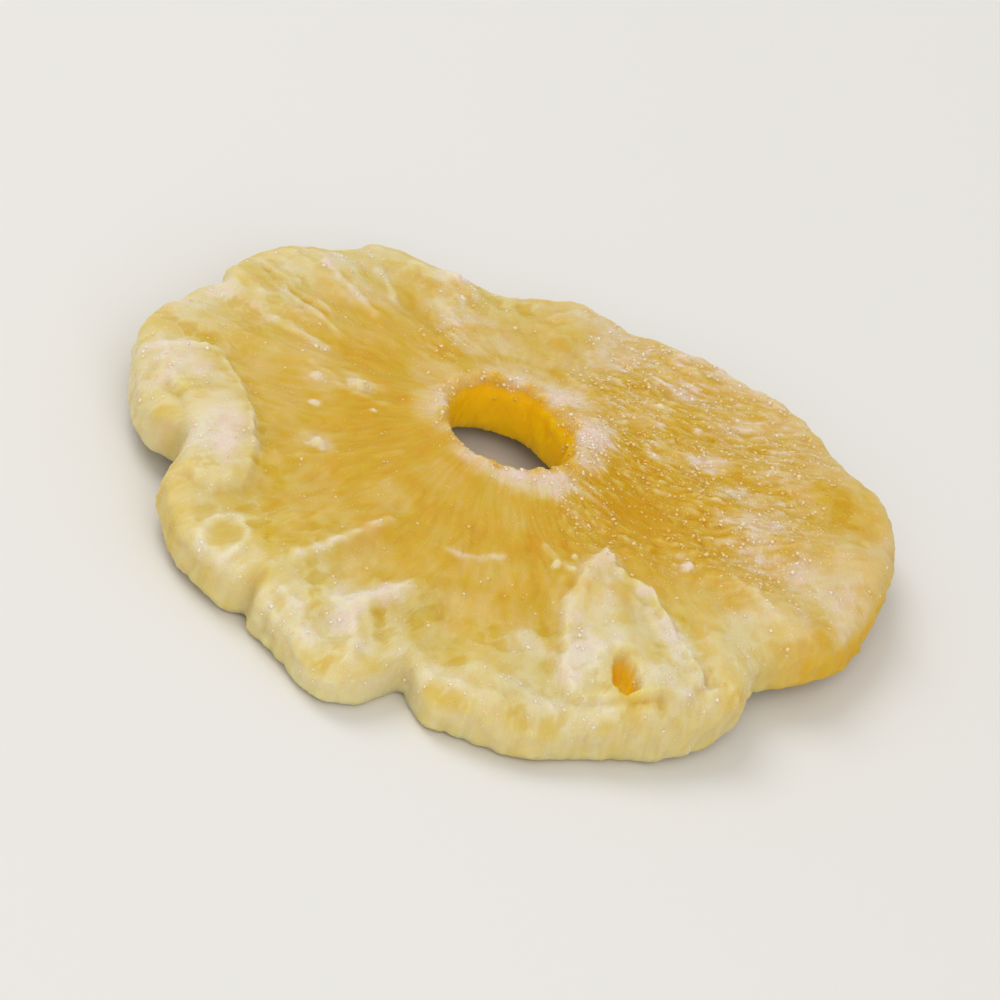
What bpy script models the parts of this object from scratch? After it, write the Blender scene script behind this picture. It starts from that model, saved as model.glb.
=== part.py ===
"""A dried pineapple ring, lying flat with its shown face up: one solid, about 80 mm across.

The ring starts as a torus primitive. Every vertex of it is then set on the fruit's own surface: a
lobed and nicked rim, an off-centre cored hole, a gentle arch from drying, the swellings of the
fruitlets, and the folds and pockets of the upper face. A tapered cutter opens the eye pit.

Sizes below are in millimetres, and MM turns them into Blender's metres.
"""

from math import cos, pi, radians, sin

import bpy
import numpy as np
from mathutils import Vector, noise

MM = 0.001

# The ring seen from above: a rim round the origin and a hole a little behind it
RIM_RADIUS = 38.8
HOLE_RADIUS = 6.8
HOLE_CENTRE = (-1.3, 6.2)

# The ring from the side: its flesh, and how far drying has lifted its middle off the table
THICKNESS = 4.7
ARCH_RISE = 3.8
ARCH_HALF_SPAN = 35.5
ARCH_FALL_SIDEWAYS = 0.35
FOOT_DEPTH = 0.8
FEET_FROM = 31.0

# Rounding of the long edges, as shares of the section's half width and half height
RIM_EDGE_ACROSS = 0.11
HOLE_EDGE_ACROSS = 0.055
EDGE_UP = 0.55

# Lobes (out) and nicks (in) of the rim: angle in degrees, height, half width in degrees
RIM_LOBES = (
    (24, 3.0, 20),
    (53, 1.3, 9),
    (104, -2.6, 9),
    (119, 3.5, 6),
    (133, 1.8, 11),
    (143, 1.3, 6),
    (154, -1.0, 3),
    (171, 1.5, 10),
    (200, -0.9, 2),
    (202.5, -4.3, 7),
    (226, 0.6, 8),
    (237, -1.8, 2),
    (255, 3.2, 7),
    (265, -4.6, 3.5),
    (284, 1.3, 7),
    (333, -4.2, 10),
)
HOLE_LOBES = (
    (8, -0.5, 20),
    (48, -0.8, 20),
    (95, 0.4, 20),
    (125, 0.6, 20),
    (188, -0.4, 20),
    (280, 0.4, 24),
)
RIM_ROUGHNESS = 0.35

# Relief of the upper face
RIM_CROWN = 0.5
HOLE_LIP = 0.55
FRUITLETS = 17
FLUTE_HEIGHT = 0.36
SWELLING = 0.5
WRINKLE = 0.24

# Raised folds: points of the crest, height, half width
FOLDS = (
    (((4.3, -34.2), (10.5, -35.4), (18.0, -33.8), (25.4, -28.2), (28.6, -24.5)), 0.5, 1.7),
    (((-17.1, -26.9), (-14.3, -23.3), (-11.5, -18.5), (-9.8, -15.9)), 0.5, 1.5),
    (((-14.0, -32.0), (-9.5, -30.5), (-5.8, -25.8)), 0.6, 1.7),
    (((-9.5, -30.5), (-9.2, -34.0), (-10.0, -38.0)), 0.6, 1.7),
    (((-29, 26.5), (-22.3, 22.4), (-17.5, 19.2)), 0.4, 1.6),
    (((24, 0.5), (31, 2.5), (38, 4)), 0.45, 2.2),
    (((23, -7.5), (30, -10), (36, -13)), 0.45, 2.2),
)
# Raised flaps with steep edges: corners of the outline, height
FLAPS = (
    (
        ((10.4, -12.2), (11.7, -9.6), (13.6, -12.2), (17.6, -13.4), (19.8, -16.2), (22.3, -19.6),
         (24.6, -22.8), (25.4, -25.0), (24.4, -27.4), (21.2, -29.6), (17.0, -32.0), (13.4, -33.0),
         (11.8, -31.0), (10.8, -27.0), (9.6, -19.5)),
        0.95,
    ),
    (
        ((-37.5, -0.3), (-33.5, 1.6), (-31.5, 1.6), (-28.8, -2.3), (-27.2, -5.8), (-25.6, -9.0),
         (-24.4, -14.0), (-24.4, -19.0), (-27.5, -21.5), (-31.0, -20.0), (-31.8, -13.0),
         (-33.5, -7.5), (-36.8, -5.0)),
        0.85,
    ),
)
FLAP_EDGE = 2.2
# Sunken pockets of clear flesh: centre, depth, half width
POCKETS = (
    ((-17.5, -7.0), 0.7, 7.0),
    ((-2.4, -30.2), 0.8, 4.4),
    ((-4.5, -12.0), 0.5, 6.0),
    ((14.2, 0.2), 0.6, 4.5),
    ((-11.5, 11.0), 0.45, 3.5),
    ((-13.5, 25.0), 0.6, 5.0),
    ((-24.8, -26.8), 0.6, 2.2),
    ((20.5, 24.0), 0.55, 4.5),
    ((30.0, -15.0), 0.45, 3.0),
)
EYE_PIT_CENTRE = (17.6, -27.7)
EYE_PIT_DEPTH = 2.6
EYE_PIT_LENGTH = 6.8
EYE_PIT_WIDTH = 3.3
EYE_PIT_FLOOR_SHARE = 0.45
EYE_PIT_TURN = radians(114)
EYE_PIT_SIDES = 14

# Faces round the ring, and along each part of its section
AROUND = 156
EDGE_STEPS = 2
TOP_STEPS = 16
HOLE_WALL_STEPS = 2
UNDERSIDE_STEPS = 8
RIM_WALL_STEPS = 3


def noise_at(x, y, z, size, seed):
    """Smooth noise from about -1 to 1 at each point, with lumps of the given size."""
    offset = 37.0 * seed
    return np.array([
        noise.noise(Vector((px / size + offset, py / size - offset, pz / size + offset)))
        for px, py, pz in zip(x, y, z)
    ])


def swell(distance, half_width):
    """A round hump: 1 at its middle, nearly gone at twice its half width."""
    return np.exp(-((distance / half_width) ** 2))


def ease(value, start, end):
    """0 before start, 1 after end, and a smooth rise between them."""
    t = np.clip((value - start) / (end - start), 0, 1)
    return t * t * (3 - 2 * t)


def lobed_radius(angle, radius, lobes):
    """Distance of a lobed outline from its centre, in each direction."""
    result = np.full_like(angle, radius)
    for at, height, half_width in lobes:
        off = (np.degrees(angle) - at + 180) % 360 - 180
        result += height * swell(off, half_width)
    return result


def distance_to_line(x, y, line):
    """Distance of each point from the line through some corners."""
    nearest = np.full_like(x, np.inf)
    for (ax, ay), (bx, by) in zip(line, line[1:]):
        dx, dy = bx - ax, by - ay
        along = np.clip(((x - ax) * dx + (y - ay) * dy) / (dx * dx + dy * dy), 0, 1)
        nearest = np.minimum(nearest, np.hypot(x - ax - along * dx, y - ay - along * dy))
    return nearest


def distance_inside(x, y, corners):
    """Distance of each point from an outline: above 0 inside it, below 0 outside."""
    inside = np.zeros(x.shape, bool)
    loop = corners + corners[:1]
    for (ax, ay), (bx, by) in zip(loop, loop[1:]):
        if ay != by:
            crossing = ax + (y - ay) * (bx - ax) / (by - ay)
            inside ^= ((ay > y) != (by > y)) & (x < crossing)
    return np.where(inside, 1, -1) * distance_to_line(x, y, loop)


def arch(x, y):
    """Height that drying has lifted the ring by: highest along its middle from side to side."""
    fall = 1 - ARCH_FALL_SIDEWAYS * (x / RIM_RADIUS) ** 2
    return ARCH_RISE * np.maximum(1 - (y / ARCH_HALF_SPAN) ** 2, 0) * fall


def flutes(angle, share, seed):
    """Swellings of the fruitlets, which spread from the core to the rim."""
    wander = noise_at(np.cos(angle), np.sin(angle), share, 0.45, seed)
    wave = np.sin(FRUITLETS * angle + 2.2 * wander)
    return FLUTE_HEIGHT * wave * ease(share, 0.2, 0.75)


def upper_face(x, y, angle, share):
    """Height of the shown face above the table. share runs from 0 at the hole to 1 at the rim."""
    zero = np.zeros_like(x)
    height = arch(x, y) + THICKNESS
    height += RIM_CROWN * swell(share - 0.86, 0.16) + HOLE_LIP * swell(share - 0.07, 0.09)
    height += flutes(angle, share, 1)
    height += SWELLING * noise_at(x, y, zero, 11.0, 2) + WRINKLE * noise_at(x, y, zero, 4.2, 3)
    for crest, crest_height, half_width in FOLDS:
        height += crest_height * swell(distance_to_line(x, y, crest), half_width)
    for corners, flap_height in FLAPS:
        height += flap_height * ease(distance_inside(x, y, corners), -FLAP_EDGE / 2, FLAP_EDGE / 2)
    for (cx, cy), depth, half_width in POCKETS:
        height -= depth * swell(np.hypot(x - cx, y - cy), half_width)
    return height


def underside(x, y, angle, share):
    """Height of the lower face, pressed flat where it rests on the table, at the front and back rims."""
    zero = np.zeros_like(x)
    relief = 0.5 * flutes(angle, share, 4) + 0.6 * SWELLING * noise_at(x, y, zero, 9.0, 5)
    relief += WRINKLE * noise_at(x, y, zero, 4.0, 6)
    lifted = 1 - ease(np.abs(y), FEET_FROM - 10, FEET_FROM)
    return np.maximum(arch(x, y) - FOOT_DEPTH + relief * lifted, 0)


def section():
    """(across, up) from -1 to 1 round the section, from the rim's upper edge over the top to the hole."""
    runs = (TOP_STEPS, HOLE_WALL_STEPS, UNDERSIDE_STEPS, RIM_WALL_STEPS)
    sides = (
        (1, 1, RIM_EDGE_ACROSS),
        (-1, 1, HOLE_EDGE_ACROSS),
        (-1, -1, HOLE_EDGE_ACROSS),
        (1, -1, RIM_EDGE_ACROSS),
    )
    edge = []
    for quarter, (side, level, rounding) in enumerate(sides):
        turns = [radians(90 * (quarter + step / EDGE_STEPS)) for step in range(EDGE_STEPS + 1)]
        edge.append([
            (side * (1 - rounding) + rounding * cos(t), level * (1 - EDGE_UP) + EDGE_UP * sin(t))
            for t in turns
        ])
    points = []
    for quarter, steps in enumerate(runs):
        points += edge[quarter]
        (ax, ay), (bx, by) = edge[quarter][-1], edge[(quarter + 1) % 4][0]
        points += [(ax + (bx - ax) * s / steps, ay + (by - ay) * s / steps) for s in range(1, steps)]
    return np.array(points)


def ring_points(around):
    """Points of the ring, in millimetres, section after section round the rim."""
    profile = section()
    angle = np.repeat(2 * pi * np.arange(around) / around, len(profile))
    across = np.tile(profile[:, 0], around)
    up = np.tile(profile[:, 1], around)
    share = (across + 1) / 2
    rim = lobed_radius(angle, RIM_RADIUS, RIM_LOBES)
    rim += RIM_ROUGHNESS * noise_at(30 * np.cos(angle), 30 * np.sin(angle), 1.5 * up, 4.0, 7)
    hole = lobed_radius(angle, HOLE_RADIUS, HOLE_LOBES)
    hole_x = HOLE_CENTRE[0] + hole * np.cos(angle)
    hole_y = HOLE_CENTRE[1] + hole * np.sin(angle)
    x = hole_x + share * (rim * np.cos(angle) - hole_x)
    y = hole_y + share * (rim * np.sin(angle) - hole_y)
    low = underside(x, y, angle, share)
    high = upper_face(x, y, angle, share)
    z = low + (high - low) * (up + 1) / 2
    return np.stack([x, y, z], axis=1)


def flesh_material():
    material = bpy.data.materials.new("dried_pineapple")
    material.use_nodes = True
    shader = material.node_tree.nodes["Principled BSDF"]
    shader.inputs["Base Color"].default_value = (0.67, 0.47, 0.15, 1)
    shader.inputs["Roughness"].default_value = 0.5
    shader.inputs["Metallic"].default_value = 0
    return material


def keep_in(collection, obj):
    for owner in obj.users_collection:
        owner.objects.unlink(obj)
    collection.objects.link(obj)


def make_ring(collection):
    """The whole ring, from a torus primitive whose vertices take the fruit's shape."""
    bpy.ops.mesh.primitive_torus_add(
        major_segments=AROUND,
        minor_segments=len(section()),
        major_radius=RIM_RADIUS * MM,
        minor_radius=THICKNESS * MM,
    )
    ring = bpy.context.object
    ring.name = "pineapple_ring"
    points = ring_points(AROUND)
    low, high = points.min(axis=0), points.max(axis=0)
    middle = np.array(((low[0] + high[0]) / 2, (low[1] + high[1]) / 2, low[2]))
    ring.data.vertices.foreach_set("co", ((points - middle) * MM).ravel())
    ring.data.update()
    ring.data.materials.append(flesh_material())
    keep_in(collection, ring)
    return ring, middle


def cut_eye_pit(ring, middle, cutters):
    """The eye pit: a tapered slot from above the upper face down to its floor."""
    reach = 2.0
    taper = (1 - EYE_PIT_FLOOR_SHARE) / EYE_PIT_DEPTH
    x, y = EYE_PIT_CENTRE
    mouth = upper_face(np.array([x]), np.array([y]), np.array([0.0]), np.array([0.8]))[0]
    floor = mouth - EYE_PIT_DEPTH
    bpy.ops.mesh.primitive_cone_add(
        vertices=EYE_PIT_SIDES,
        radius1=EYE_PIT_FLOOR_SHARE / 2 * MM,
        radius2=(1 + taper * reach) / 2 * MM,
        depth=(EYE_PIT_DEPTH + reach) * MM,
        location=((x - middle[0]) * MM, (y - middle[1]) * MM, (floor + (EYE_PIT_DEPTH + reach) / 2) * MM),
        rotation=(0, 0, EYE_PIT_TURN),
    )
    cutter = bpy.context.object
    cutter.name = "eye_pit_cutter"
    cutter.scale = (EYE_PIT_LENGTH, EYE_PIT_WIDTH, 1)
    cutter.hide_render = True
    cutter.display_type = "WIRE"
    keep_in(cutters, cutter)
    cut = ring.modifiers.new("eye pit", "BOOLEAN")
    cut.operation = "DIFFERENCE"
    cut.solver = "EXACT"
    cut.object = cutter


def main():
    for obj in list(bpy.data.objects):
        bpy.data.objects.remove(obj)
    collection = bpy.data.collections.new("dried_pineapple")
    cutters = bpy.data.collections.new("cutters")
    bpy.context.scene.collection.children.link(collection)
    bpy.context.scene.collection.children.link(cutters)
    ring, middle = make_ring(collection)
    cut_eye_pit(ring, middle, cutters)


main()
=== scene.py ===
"""The look of the dried pineapple ring: its flesh as a fine mesh, and the sugar that lies on it.

The flesh follows the part's own shape law at a finer pitch, with fibres, pulp cells, facets and crust
added. Lengths are in millimetres, and MM turns them into Blender's metres, but for those of the stage,
which are in metres.
"""

from math import cos, pi, radians, sin

import bpy
import numpy as np
from mathutils import Matrix, Vector, noise


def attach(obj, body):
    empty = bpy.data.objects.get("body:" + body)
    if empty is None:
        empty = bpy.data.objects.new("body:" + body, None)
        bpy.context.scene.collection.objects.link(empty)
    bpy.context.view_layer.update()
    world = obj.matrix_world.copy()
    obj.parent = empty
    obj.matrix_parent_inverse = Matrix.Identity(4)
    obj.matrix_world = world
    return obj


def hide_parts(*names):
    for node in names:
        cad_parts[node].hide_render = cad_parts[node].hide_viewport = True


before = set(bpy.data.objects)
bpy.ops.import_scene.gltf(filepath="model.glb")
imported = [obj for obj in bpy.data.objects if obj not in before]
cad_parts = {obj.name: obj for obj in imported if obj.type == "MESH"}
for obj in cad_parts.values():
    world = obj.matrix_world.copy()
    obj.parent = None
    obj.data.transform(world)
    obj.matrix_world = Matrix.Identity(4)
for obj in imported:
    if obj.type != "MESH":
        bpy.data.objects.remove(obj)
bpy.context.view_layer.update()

MM = 0.001

# The ring's shape, with the values of the part's source
RIM_RADIUS = 38.8
HOLE_RADIUS = 6.8
HOLE_CENTRE = (-1.3, 6.2)
OUTLINE_MIDDLE = (0.038, -0.995)
THICKNESS = 4.7
ARCH_RISE = 3.8
ARCH_HALF_SPAN = 35.5
ARCH_FALL_SIDEWAYS = 0.35
FOOT_DEPTH = 0.8
FEET_FROM = 31.0
RIM_EDGE_ACROSS = 0.11
HOLE_EDGE_ACROSS = 0.055
EDGE_UP = 0.55
RIM_LOBES = (
    (24, 3.0, 20), (53, 1.3, 9), (104, -2.6, 9), (119, 3.5, 6),
    (133, 1.8, 11), (143, 1.3, 6), (154, -1.0, 3), (171, 1.5, 10),
    (200, -0.9, 2), (202.5, -4.3, 7), (226, 0.6, 8), (237, -1.8, 2),
    (255, 3.2, 7), (265, -4.6, 3.5), (284, 1.3, 7), (333, -4.2, 10),
)
HOLE_LOBES = (
    (8, -0.5, 20), (48, -0.8, 20), (95, 0.4, 20), (125, 0.6, 20), (188, -0.4, 20), (280, 0.4, 24),
)
RIM_ROUGHNESS = 0.35
RIM_CROWN = 0.5
HOLE_LIP = 0.55
FRUITLETS = 17
FLUTE_HEIGHT = 0.36
SWELLING = 0.5
WRINKLE = 0.24
FOLDS = (
    (((4.3, -34.2), (10.5, -35.4), (18.0, -33.8), (25.4, -28.2), (28.6, -24.5)), 0.5, 1.7),
    (((-17.1, -26.9), (-14.3, -23.3), (-11.5, -18.5), (-9.8, -15.9)), 0.5, 1.5),
    (((-14.0, -32.0), (-9.5, -30.5), (-5.8, -25.8)), 0.6, 1.7),
    (((-9.5, -30.5), (-9.2, -34.0), (-10.0, -38.0)), 0.6, 1.7),
    (((-29, 26.5), (-22.3, 22.4), (-17.5, 19.2)), 0.4, 1.6),
    (((24, 0.5), (31, 2.5), (38, 4)), 0.45, 2.2),
    (((23, -7.5), (30, -10), (36, -13)), 0.45, 2.2),
)
FLAPS = (
    (
        ((10.4, -12.2), (11.7, -9.6), (13.6, -12.2), (17.6, -13.4), (19.8, -16.2),
         (22.3, -19.6), (24.6, -22.8), (25.4, -25.0), (24.4, -27.4), (21.2, -29.6),
         (17.0, -32.0), (13.4, -33.0), (11.8, -31.0), (10.8, -27.0), (9.6, -19.5)),
        0.95,
    ),
    (
        ((-37.5, -0.3), (-33.5, 1.6), (-31.5, 1.6), (-28.8, -2.3), (-27.2, -5.8),
         (-25.6, -9.0), (-24.4, -14.0), (-24.4, -19.0), (-27.5, -21.5), (-31.0, -20.0),
         (-31.8, -13.0), (-33.5, -7.5), (-36.8, -5.0)),
        0.85,
    ),
)
POCKETS = (
    ((-17.5, -7.0), 0.7, 7.0),
    ((-2.4, -30.2), 0.8, 4.4),
    ((-4.5, -12.0), 0.5, 6.0),
    ((14.2, 0.2), 0.6, 4.5),
    ((-11.5, 11.0), 0.45, 3.5),
    ((-13.5, 25.0), 0.6, 5.0),
    ((-24.8, -26.8), 0.6, 2.2),
    ((20.5, 24.0), 0.55, 4.5),
    ((30.0, -15.0), 0.45, 3.0),
)
EYE_PIT_CENTRE = (17.6, -27.7)
EYE_PIT_DEPTH = 2.6
EYE_PIT_LENGTH = 6.8
EYE_PIT_WIDTH = 3.3
EYE_PIT_FLOOR_SHARE = 0.45
EYE_PIT_TURN = radians(114)
# Steeper than the part's own, as the finer mesh allows
FLAP_EDGE = 1.0

# Faces of the fine mesh
AROUND = 660
EDGE_STEPS = 5
TOP_STEPS = 100
HOLE_WALL_STEPS = 8
UNDERSIDE_STEPS = 12
RIM_WALL_STEPS = 10

# Crests and, below 0, grooves that only the fine mesh has: points, height, half width, added paleness
STREAKS = (
    # The raised flap in front, its two legs and what lies between them
    (((11.9, -9.8), (10.4, -13), (9.4, -17.4), (9.9, -21.2), (10.9, -25.1), (11.5, -29), (12.6, -32)),
     0.30, 1.1, 0.16),
    (((12, -9.9), (14.2, -12.8), (17.4, -13.9), (19.6, -16.4), (22.1, -19.8), (24.3, -23), (24.9, -25.4)),
     0.50, 1.0, 0.24),
    (((13.3, -15.1), (15.4, -15.6), (18, -16.7), (19.9, -19.6), (22.1, -22.9)), 0.25, 0.6, 0.08),
    (((13.7, -30.4), (14.5, -26.2), (15.9, -24.2), (17.8, -24.2)), 0.30, 0.7, 0.20),
    # A groove under the flap's lower edge: the paleness it takes away is painted shadow of that edge
    (((17.8, -30.4), (19.8, -31.1), (21.8, -30.3), (24.2, -28.9)), -0.35, 0.60, -0.22),
    # Front left: a long fibre, the star of folds and small fibres
    (((-17.1, -26.9), (-14.3, -23.3), (-11.5, -18.5), (-9.8, -15.9)), 0.24, 0.40, 0.36),
    (((-15.3, -22.2), (-13.3, -21.9)), 0.15, 0.40, 0.20),
    (((-20.2, -30.2), (-16.6, -27.2), (-13.7, -23.2)), 0.10, 0.40, 0.12),
    (((-5.8, -25.4), (-8, -28.6), (-10.6, -31.6)), 0.40, 0.8, 0.26),
    (((-13.5, -29.6), (-10.8, -32)), 0.35, 0.6, 0.26),
    (((-10.6, -32.1), (-9.2, -35.5), (-9, -38.8)), 0.40, 0.7, 0.26),
    (((-26.9, -28.5), (-24.3, -30.5), (-21.8, -31.2), (-19.3, -33.3), (-17.2, -34.8)), 0.22, 0.50, 0.24),
    (((-17.4, -32.2), (-14.6, -34.6), (-13.4, -37.4)), 0.20, 0.50, 0.18),
    (((-7.6, -31.4), (-6.2, -34), (-5.8, -37.4)), -0.15, 0.60, -0.14),
    # Left: the outer edge of the raised band
    (((-39.3, -0.7), (-37.5, -0.3), (-35.3, 1), (-33.5, 1.6), (-31.9, 1.7), (-30.7, 0.2),
      (-28.6, -2.3), (-27.2, -5.8), (-25.8, -8.4), (-24.6, -13)), 0.30, 0.60, 0.26),
    # Back left: fibres with a groove, the white ridge at the rim, a rough line to the hole
    (((-29.2, 12.6), (-25.6, 11.3), (-21.9, 9.6)), 0.26, 0.42, 0.34),
    (((-31.2, 23.6), (-27.5, 20.3), (-22.8, 17.2)), 0.26, 0.42, 0.24),
    (((-24.9, 26), (-21.4, 22.8), (-18.2, 19.2)), 0.26, 0.42, 0.30),
    (((-27.9, 18.4), (-24.3, 15.6), (-20.8, 12.8)), 0.24, 0.42, 0.26),
    (((-29.9, 21.4), (-26.6, 19), (-23.2, 16.4)), -0.20, 0.50, -0.18),
    (((-32.5, 18), (-30.1, 15.4)), 0.20, 0.45, 0.15),
    (((-19.6, 29.8), (-17.6, 26.4), (-15.8, 23)), 0.22, 0.45, 0.22),
    (((-24.4, 29.6), (-21.8, 27.4)), 0.20, 0.45, 0.20),
    (((-22.4, 5.6), (-17.8, 3.2), (-12.8, 2.6)), 0.12, 0.40, 0.14),
    (((-20.6, -10.6), (-15.8, -7.4), (-11, -4.6)), 0.10, 0.40, 0.10),
    (((-16.1, 32.6), (-12.3, 33), (-10.1, 30.9)), 0.45, 0.8, 0.16),
    (((-12.4, 33), (-11.1, 25.7), (-9.8, 17.5)), 0.15, 1.0, 0.10),
    # Right: short fibres, a curved ridge with a groove behind it
    (((24.4, 4), (26, 5.6), (27.9, 7.4)), 0.20, 0.6, 0.12),
    (((23.9, 1.6), (25.6, 1.9), (27.3, 3.2)), 0.20, 0.45, 0.12),
    (((25.6, 0.2), (28, 1.4)), 0.20, 0.40, 0.14),
    (((15.3, 13.1), (17.1, 13.7)), 0.25, 0.50, 0.25),
    (((17, 19), (18.3, 19.7)), 0.25, 0.45, 0.30),
    (((20.3, 9), (20.8, 6.2)), 0.20, 0.40, 0.20),
    (((25, 15.1), (26.8, 16.4)), 0.20, 0.40, 0.20),
    (((23.4, 9.9), (24.2, 12), (25.4, 12.2)), -0.15, 0.35, -0.15),
    (((25.3, -7.1), (27.1, -7.8), (28.6, -9.1), (30.2, -10.8)), 0.35, 0.50, 0.20),
    (((27.9, -6.4), (29.6, -6.9)), -0.15, 0.35, -0.15),
    (((28.6, -0.3), (31, -1), (33.4, -0.8)), 0.20, 0.80, 0.05),
    # Back right: fibres that lie across, and the ridge at the rim
    (((8.5, 21.7), (10.5, 21.2), (13, 20.9)), 0.25, 0.40, 0.28),
    (((10.9, 18), (12.7, 17)), 0.25, 0.50, 0.28),
    (((12.1, 12.2), (14, 9.9)), 0.25, 0.45, 0.30),
    (((12.5, 26.4), (14.8, 26.3)), 0.25, 0.50, 0.22),
    (((4.5, 19.7), (6.1, 21)), 0.20, 0.40, 0.25),
    (((12, 32.4), (14, 34), (16.3, 34.2), (18.4, 33), (21.1, 32.4), (23.7, 30.8)), 0.40, 0.7, 0.16),
    (((6.7, 27.5), (8.9, 27.2), (11.2, 26.5)), 0.20, 0.45, 0.18),
    (((2.2, 20.6), (4.8, 18.9), (7.1, 17.9)), 0.20, 0.45, 0.15),
    (((7.9, 15.6), (10.1, 13.6), (11.9, 10.8)), 0.15, 0.40, 0.10),
    (((14.3, 10.3), (16.4, 8.8), (18.5, 7.4)), 0.15, 0.40, 0.12),
    (((17.8, 20.5), (19.9, 23.2), (22.4, 25)), 0.25, 0.60, 0.12),
    (((18.9, 14.1), (22.1, 15.7), (25.1, 18.7)), 0.20, 0.40, 0.12),
    # In front of the hole: two curls and clear grooves between fibres
    (((-3, -17.4), (-1.1, -17.4), (0.6, -16.7), (2.2, -15.2)), 0.14, 0.42, 0.34),
    (((6.1, -11.7), (7.5, -13.4), (9.2, -14.3)), 0.20, 0.40, 0.40),
    (((2.4, -17.7), (3.3, -21.6), (4.7, -24.6)), -0.08, 0.50, -0.08),
    (((4.1, -10.9), (5.7, -16.8), (7.4, -20.7), (8.7, -24)), -0.15, 0.70, -0.12),
    (((6.8, -7.1), (8.6, -12.6)), -0.10, 0.50, -0.10),
    # The upper edge of the front rim
    (((-0.6, -35.4), (2.4, -36.8), (5.6, -37.4), (9.3, -36.1), (13.4, -34.6)), 0.28, 0.7, 0.12),
    (((17, -32.6), (21.2, -31.2), (24.4, -28.2), (26.8, -25)), 0.28, 0.7, 0.12),
)

# Lumps of caked sugar: centre, radius, height
LUMPS = (
    ((-17.4, 4.4), 1.05, 0.70),
    ((-21.5, 3.6), 0.75, 0.45),
    ((-20.8, -0.6), 0.50, 0.30),
    ((-19.2, -7.0), 0.95, 0.65),
    ((-15.1, 1.2), 0.35, 0.25),
    ((7.5, -14.2), 0.50, 0.35),
    ((9.0, -11.9), 0.45, 0.30),
    ((12.7, -11.5), 0.70, 0.40),
    ((20.0, -6.5), 0.75, 0.55),
    ((7.3, 9.2), 1.20, 0.45),
    ((6.6, 12.0), 0.70, 0.35),
    ((2.8, 14.6), 1.20, 0.40),
)
# Outlined pulp cell near the front left rim: centre, half widths of its wall
CELL = ((-24.8, -26.8), (2.1, 3.0))
CELL_WALL_HALF_WIDTH = 0.55

# Raggedness of the rim and the hole, beyond the part's own
HALF_WALL = 2.6
RIM_NOTCHES = 0.28
RIM_NICKS = 0.14
WALL_NICKS = 0.16
HOLE_NOTCHES = 0.22
HOLE_NICKS = 0.12

# How fibres run: spread from the core, or across at the right, first falling and then bending upward
FIBRE_RADIUS = 30
FIBRE_LENGTH = 6.5
FIBRE_WANDER = 0.10
CROSSING_FROM = 8
CROSSING_TO = 28
CROSSING_FALL = 0.32
CROSSING_BEND = 0.0243
CROSSING_END_SLOPE = 0.97
CROSSING_WANDER = 0.5
DEEP_GOLD = (14.3, -0.4)
ROUGH_LINE_X = -10.5

# Heights of the relief that only the fine mesh has
LIP_CREST = 0.25
LIP_RELIEF = 0.36
CELL_WALL_CREST = 0.30
FIBRE_RELIEF = 0.12
FINE_FIBRE_RELIEF = 0.08
PULP_RELIEF = 0.07
NETWORK_RELIEF = 0.08
FLAKE_RELIEF = 0.12
FACET_RELIEF = 0.13
PLAIN_RELIEF = 0.10
UNDER_FIBRE_RELIEF = 0.14
UNDER_RELIEF = 0.12
FACET_SIZE = (1.9, 2.3)
PULP_CELL = (2.2, 3.4)

# Paleness, from 0 for clear gold to 1 for white, and what features add to it or take from it
PALE_AT_HOLE = 0.19
PALER_AT_RIM = 0.36
PALE_LUMP = 0.84
PALE_PIT = 0.14
PALE_CORE = 0.04
PALE_WALL = 0.66
LIP_PALER = 0.14
FLAP_PALER = 0.02
CELL_WALL_PALER = 0.30
# Painted shade: a darker gold band round the foot of each raised flap
FLAP_FOOT_PAINTED_SHADE = 0.10
DEEP_GOLD_CLEARER = 0.16
NETWORK_PALER = 0.08
FLAKE_PALER = 0.34
FACET_PALER = 0.13
FACET_EDGE_PALER = 0.10
# The share of fibres in it: everywhere, and more where the flesh is busy
FIBRE_PALER = (0.09, 0.16)
FINE_FIBRE_PALER = (0.06, 0.12)
# Round the rim's wall: angle of the golden strip and its half width, and other changes with theirs.
# The golden strip is painted shade: the right side of the wall, away from the key light, made clear gold
PAINTED_SHADE_STRIP = (-3, 18)
WALL_CHANGES = ((255, 0.12, 16), (215, -0.10, 14), (186, 0.12, 13))
# Painted glow: how far the pit and the golden strip of painted shade are mixed towards a bright gold, in
# place of light shining through the flesh; the hole's wall is mixed all the way
PIT_PAINTED_GLOW = 0.7
STRIP_PAINTED_GLOW = 0.35
# Lemon casts: place, amount, half width
LEMON_SPOTS = (((16, -21), 0.3, 7), ((29, -16), 0.45, 7))

# Sugar: number of crystals, smallest and largest size, and the share of it that is sunk in the flesh
GRAINS = 2400
GRAIN_SIZES = (0.13, 0.34)
GRAIN_SINK = 0.46
DUST = 14000
DUST_SIZES = (0.07, 0.16)
DUST_SINK = 0.42

# How far a patch reaches beyond its half widths, and how abruptly it ends
PATCH_REACH = 1.15
PATCH_FALL = 1.8
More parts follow.
